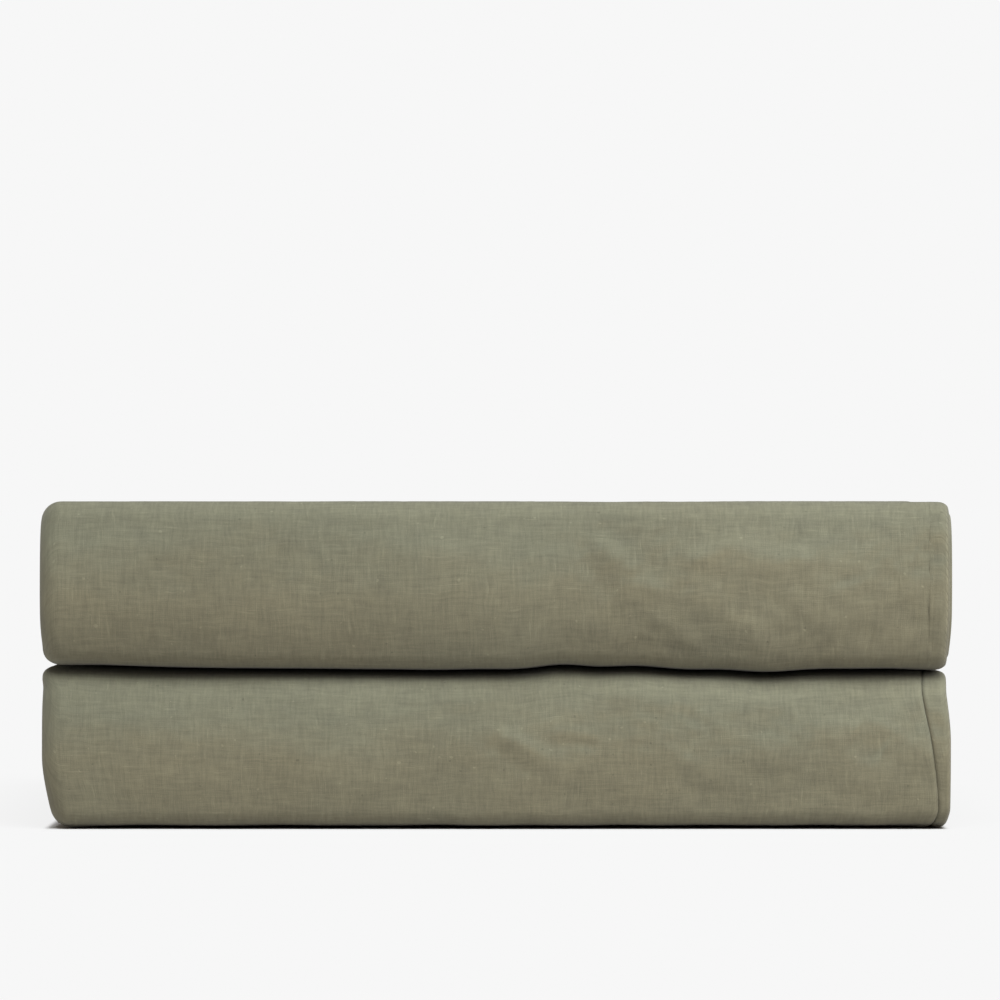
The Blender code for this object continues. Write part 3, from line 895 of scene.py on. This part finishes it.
def swept_piece(name, grid, normals, columns_uv, rows_uv, look, wear):
    """A closed piece from a grid of rings: quads round the sides and one flat face over each end."""
    rows, columns = grid.shape[:2]
    verts = grid.reshape(-1, 3)
    i, j = np.meshgrid(np.arange(rows - 1), np.arange(columns), indexing="ij")
    corner_rows = np.stack([i, i, i + 1, i + 1], -1).reshape(-1, 4)
    corner_columns = np.stack([j, j + 1, j + 1, j], -1).reshape(-1, 4)
    first = list(range(columns))[::-1]
    last = list(range((rows - 1) * columns, rows * columns))
    facing = np.cross(grid[0, 1] - grid[0, 0], grid[1, 0] - grid[0, 0])
    if np.dot(facing, normals[0, 0]) < 0:
        corner_rows, corner_columns = corner_rows[:, ::-1], corner_columns[:, ::-1]
        first, last = first[::-1], last[::-1]
    ring = corner_columns % columns
    quads = corner_rows * columns + ring
    side_uv = np.stack([columns_uv[corner_columns], rows_uv[corner_rows, ring]], -1).reshape(-1, 2)
    side_normals = normals[corner_rows, ring].reshape(-1, 3)
    middle = grid.mean(axis=1)
    outward = [middle[0] - middle[1]] * columns + [middle[-1] - middle[-2]] * columns
    end_normals = [direction / np.linalg.norm(direction) for direction in outward]
    end_uv = [(verts[n][0], verts[n][2]) for n in first + last]
    faces = quads.tolist() + [first, last]
    loop_uv = np.concatenate([side_uv, np.array(end_uv)])
    loop_normals = np.concatenate([side_normals, np.array(end_normals)])
    # Painted shade: faces that look down are painted browner and faces that look up greener, as light from
    # above would shade them.
    tone = 0.10 + 0.90 * smooth((normals[..., 2].reshape(-1) + 0.06) / 0.30)
    return mesh_object(name, verts, faces, loop_uv, loop_normals, look, wear.reshape(-1), tone)


def ring_lengths(section):
    """Distance round the section at each column, and once more at the end to close it."""
    steps = np.linalg.norm(np.roll(section, -1, axis=0) - section, axis=1)
    return np.concatenate([[0.0], np.cumsum(steps)])


def open_pocket(grid, section, offsets, rows):
    """Opens the slit between the two panels wide enough for the care label to lie in it."""
    columns = np.flatnonzero((np.abs(section[:, 1]) < 0.2 * MM) & (section[:, 0] > LEFT + HALF_LAYER))
    for column in columns:
        x, n = section[column]
        offsets[rows, column] = math.copysign(LABEL_ROOM, n)
        if x < RIGHT - 6 * MM:
            grid[rows, column, 0] = LABEL_LOW.x - 1.0 * MM


def relief_on(grid, face, outward_z, length, upper):
    """How far the cloth stands off its plain shape, less where it is pressed and more where it lies open."""
    x, y, z = grid[..., 0], grid[..., 1], grid[..., 2]
    relief = wrinkle_height(x, y, z, face, upper) + front_strokes(x, y, z, upper) * face
    beside_crease = np.abs(outward_z) * bump((z - BUNDLE_HEIGHT) / (5 * MM)) * face
    relief = relief * (1 - beside_crease) - 0.15 * MM * beside_crease
    open_face = np.maximum(ramp(z - HEIGHT, -4, 4), ramp(y - HINGE_Y, 0, 3))
    relief = relief * (1 + 1.4 * open_face * ramp(y - FRONT, 20, 40))
    # The two halves' wrinkles differ, so both fade where the halves meet in the middle of the spine.
    relief = relief * ramp(length, 0, 20)
    on_base = smooth(-outward_z) * face
    return relief * (1 - on_base) - 0.5 * np.abs(relief) * on_base


class Swept:
    """A section carried along the stations, wrinkled, settled and ready to be cut into pieces."""

    def __init__(self, stations, section, upper, ribbon):
        y, z, outward_y, outward_z, length, turned = stations.T
        x, n = section.T
        grid = np.empty((len(y), len(x), 3))
        grid[..., 0] = x
        offsets = np.tile(n, (len(y), 1))
        if not upper and not ribbon:
            in_end_layer = np.abs(z - END_LAYER_Z) < 1 * MM
            beside_label = (y > LABEL_LOW.y - 3 * MM) & (y < LABEL_HIGH.y + 3 * MM)
            open_pocket(grid, section, offsets, np.flatnonzero(in_end_layer & beside_label))
        grid[..., 1] = y[:, None] + offsets * outward_y[:, None]
        grid[..., 2] = z[:, None] + offsets * outward_z[:, None]
        if upper:
            grid[..., 2] = HEIGHT - grid[..., 2]
        self.columns_uv = x[0] - ring_lengths(section) if not ribbon else ring_lengths(section)
        self.rows_uv = length[:, None] - n * turned[:, None]
        if upper:
            self.rows_uv = -self.rows_uv
        face = smooth(n / HALF_LAYER) * np.ones((len(y), 1))
        relief = relief_on(grid, face, outward_z[:, None], length[:, None], upper)
        push = self.facing(grid) * relief[..., None]
        if ribbon:
            rounding = 1 - np.sqrt(np.clip(1 - (n / (HALF_LAYER + 0.4 * MM)) ** 2, 0, 1))
            share = 1.0 if upper else 0.35
            grid[..., 0] -= rounding * HALF_LAYER * share * 0.6
        # Near the seam the relief moves nothing sideways, so the gap beside the ribbon stays even.
        push[..., 0] *= 1 - ramp(grid[..., 0] - RIGHT, -14, 5)
        # Wear and painted shade: the two ends are lighter as wear, raised wrinkles are painted lighter and
        # dents are painted darker.
        ends = ramp(np.abs(grid[..., 0]) - RIGHT, -7, 7)
        ridge = np.clip(relief / (0.5 * MM), -1, 1)
        self.wear = 0.5 * ends + 0.5 * ridge
        self.grid = settle(grid + push)
        self.normals = self.facing(self.grid)

    @staticmethod
    def facing(grid):
        """Grid normals, turned to point out of the ring."""
        normals = grid_normals(grid)
        middle = grid.mean(axis=1, keepdims=True)
        if ((grid - middle) * normals).sum() < 0:
            normals = -normals
        return normals

    def piece(self, name, first, last, look):
        """The rows from first to last as a piece of their own."""
        part = slice(first, last + 1)
        grid, normals, wear = self.grid[part], self.normals[part], self.wear[part]
        return swept_piece(name, grid, normals, self.columns_uv, self.rows_uv[part], look, wear)


def bar_ring(front, back, low, high, front_radius, back_radius, step):
    """A long bar cut across as (y, z) points, starting at the middle of its back."""
    points = [(back, (low + high) / 2)]
    corners = [
        (back - back_radius, high - back_radius, back_radius, 0),
        (front + front_radius, high - front_radius, front_radius, 90),
        (front + front_radius, low + front_radius, front_radius, 180),
        (back - back_radius, low + back_radius, back_radius, 270),
    ]
    for y, z, radius, start in corners:
        for angle in np.radians(start + np.linspace(0, 90, 6)):
            points.append((y + radius * math.cos(angle), z + radius * math.sin(angle)))
    ring = []
    for (ay, az), (by, bz) in zip(points, points[1:] + points[:1]):
        count = max(1, round(math.hypot(by - ay, bz - az) / step))
        ring += [(ay + (by - ay) * i / count, az + (bz - az) * i / count) for i in range(count)]
    return np.array(ring)


def bar_stations(left, right, end_radius, step):
    """Places along a bar, each with how far the ring shrinks there to round the bar's ends."""
    angles = np.radians([90, 65, 40, 18])
    ends = [(end_radius * (1 - math.sin(a)), end_radius * (1 - math.cos(a))) for a in angles]
    places = [(left + run, shrink) for run, shrink in ends]
    places += [(x, 0.0) for x in spaced(left + end_radius, right - end_radius, step)]
    places += [(right - run, shrink) for run, shrink in reversed(ends)]
    return np.array(places)


class Bar:
    """A soft bar's box, the radii of its front, back and end edges, its grid step and how it lies."""

    def __init__(self, low, high, radii, step, seed, dent=0.0, ragged=0.0, lift=0.0):
        self.low, self.high = low, high
        self.radii = radii
        self.step, self.seed = step, seed
        self.dent, self.ragged, self.lift = dent, ragged, lift


def soft_bar(name, bar, look):
    """A hem, seam, tape or label: a thin bar lying along x with round edges, dented and a little uneven."""
    front_radius, back_radius, end_radius = bar.radii
    low, high = bar.low, bar.high
    ring = bar_ring(low[1], high[1], low[2], high[2], front_radius, back_radius, bar.step)
    places = bar_stations(low[0], high[0], end_radius, bar.step)
    middle = np.array([(low[1] + high[1]) / 2, (low[2] + high[2]) / 2])
    half = np.array([(high[1] - low[1]) / 2, (high[2] - low[2]) / 2])
    grid = np.empty((len(places), len(ring), 3))
    grid[..., 0] = places[:, :1]
    for row, shrink in enumerate(places[:, 1]):
        grid[row, :, 1:] = middle + (ring - middle) * (1 - shrink / half)
    normals = Swept.facing(grid)
    x, y, z = grid[..., 0], grid[..., 1], grid[..., 2]
    hollow = np.abs(waves(x, y + z, bar.seed, 18, 9 * MM, 60 * MM))
    free_edge = ramp(y - high[1], -9, 9)
    uneven = 0.5 + 0.5 * waves(x, 0 * x, bar.seed + 1, 12, 14 * MM, 90 * MM, (0.0, 0.2))
    curl = np.sin((y - low[1]) / (8 * MM) + bar.seed) * np.cos(x / (14 * MM))
    grid = grid - normals * (hollow * bar.dent)[..., None]
    grid[..., 1] -= np.clip(uneven, 0, 1.4) * bar.ragged * free_edge
    grid[..., 2] += curl * bar.lift
    grid = settle(grid)
    lengths = ring_lengths(ring)
    from_back = np.minimum(lengths, lengths[-1] - lengths)
    along = np.tile(places[:, :1], (1, len(ring)))
    # Wear and painted shade: the free edge is lighter as wear, and the dents are painted darker.
    wear = np.clip(0.4 * free_edge - 0.3 * hollow, -1, 1)
    return swept_piece(name, grid, Swept.facing(grid), from_back, along, look, wear)


def inner_piece(node, body, slot, look, bar):
    """A soft bar that stands for a CAD node and rides on a body."""
    piece = soft_bar(f"{node}_cloth", bar, look)
    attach(piece, body)
    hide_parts(node)
    return piece


# Where the inward face of the spine's bent cloth begins.
INSIDE_SPINE = HINGE_Y - CORNER_RADIUS + HALF_LAYER
# The radii of front, back and end edges.
HEM_RADII = (0.8 * MM, 2.3 * MM, 2.3 * MM)
HEAD_SEAM_RADII = (1.2 * MM, 5.0 * MM, 3.5 * MM)
TIE_RADII = (0.4 * MM,) * 3
LABEL_RADII = (0.2 * MM,) * 3
HEM_DENT = 0.30 * MM


def build_hems():
    """The two hems at the open foot end and the seam at the head end."""
    made = {}
    for number, node in enumerate(("foot_button_band", "foot_buttonhole_band")):
        low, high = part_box(node)
        top = (high.x, INSIDE_SPINE - (2.0 if number else 2.6) * MM, high.z)
        bar = Bar(low, top, HEM_RADII, 2.2 * MM, 301 + 10 * number, HEM_DENT, 0.9 * MM)
        made[node] = inner_piece(node, "lower_half", "linen", HEM, bar)
    low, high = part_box("head_seam")
    top = (high.x, INSIDE_SPINE - 2.3 * MM, high.z)
    bar = Bar(low, top, HEAD_SEAM_RADII, 1.8 * MM, 331, HEM_DENT, 0.7 * MM)
    made["head_seam"] = inner_piece("head_seam", "upper_half", "seam_linen", SEAM, bar)
    return made


def build_tapes_and_label():
    """The four corner ties and the blank care label, all lying loose between the layers."""
    for half, foot_or_head in (("lower_half", "foot"), ("upper_half", "head")):
        for number in (1, 2):
            node = f"{foot_or_head}_corner_tie_{number}"
            low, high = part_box(node)
            back = min(high.y, INSIDE_SPINE - 1.0 * MM)
            bar = Bar(low, (high.x, back, high.z), TIE_RADII, 1.2 * MM, 341 + 10 * number, lift=0.07 * MM)
            tie = inner_piece(node, half, "cotton_tape", TAPE, bar)
    low, high = LABEL_LOW, LABEL_HIGH
    bar = Bar(low, high, LABEL_RADII, 1.4 * MM, 371, lift=0.12 * MM)
    label = inner_piece("care_label", "lower_half", "label_cloth", LABEL, bar)


make_camera()
make_floor(make_light())

# Each linen's first colour is painted on faces that look up and its second on faces that look down, as
# painted shade. Random patches mix the two as well.
LINEN = linen("linen", (0.134, 0.132, 0.091), (0.139, 0.126, 0.081))
SEAM = linen("seam_linen", (0.131, 0.129, 0.089), (0.136, 0.123, 0.079), 0.98, [3.2 * MM])
HEM = linen("hem_linen", (0.131, 0.129, 0.089), (0.136, 0.123, 0.079), 0.97, [5.0 * MM, 41.0 * MM])
TAPE = tape("cotton_tape", (0.64, 0.61, 0.53))
LABEL = label_cloth("label_cloth", (0.78, 0.76, 0.70))
SHELL = coconut_shell("coconut_shell")


# Beside the seam: the gap and the radius of the panels' edge, for the upper and the lower half.
UPPER_NOTCH = (0.12 * MM, 0.9 * MM)
LOWER_NOTCH = (0.3 * MM, 2.4 * MM)
# The gap before the hem or seam at the strip's end.
END_GAP = 0.3 * MM


def build_half(upper):
    """One half of the stack: its part of the spine, its outer fold and its inner fold, each with a seam."""
    half = "upper" if upper else "lower"
    path = half_path()
    end_front = HEAD_SEAM_FRONT if upper else BAND_FRONT
    path.run(end_front - END_GAP - path.y, HIDDEN_STEP)
    path.mark("end")
    stations = np.array(path.rows)
    gap, edge = UPPER_NOTCH if upper else LOWER_NOTCH
    panels = Swept(stations, panel_section(SEAM_WIDTH + gap, edge), upper, False)
    ribbon = Swept(stations, ribbon_section(), upper, True)
    outer, inner, end = path.marks["outer"], path.marks["inner"], path.marks["end"]
    body = f"{half}_half"
    for kind, sweep, look in (("fold", panels, LINEN), ("side_seam", ribbon, SEAM)):
        spine = sweep.piece(f"spine_{half}_{kind}_cloth", 0, outer, look)
        if upper:
            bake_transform(spine)
        else:
            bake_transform(spine)
        outer_piece = sweep.piece(f"{half}_outer_{kind}_cloth", outer, inner, look)
        inner_piece = sweep.piece(f"{half}_inner_{kind}_cloth", inner, end, look)
        for piece, node in ((outer_piece, f"{half}_outer_{kind}"), (inner_piece, f"{half}_inner_{kind}")):
            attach(piece, body)
            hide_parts(node)
        if not upper:
            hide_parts(f"spine_{kind}")


HEM_PIECES = build_hems()
build_half(False)
build_half(True)
build_tapes_and_label()

for node in frame["nodes"].values():
    if node.hide_render:
        continue
    if "button_" in node.name and "band" not in node.name:
        node.data.materials.clear()
        node.data.materials.append(SHELL)
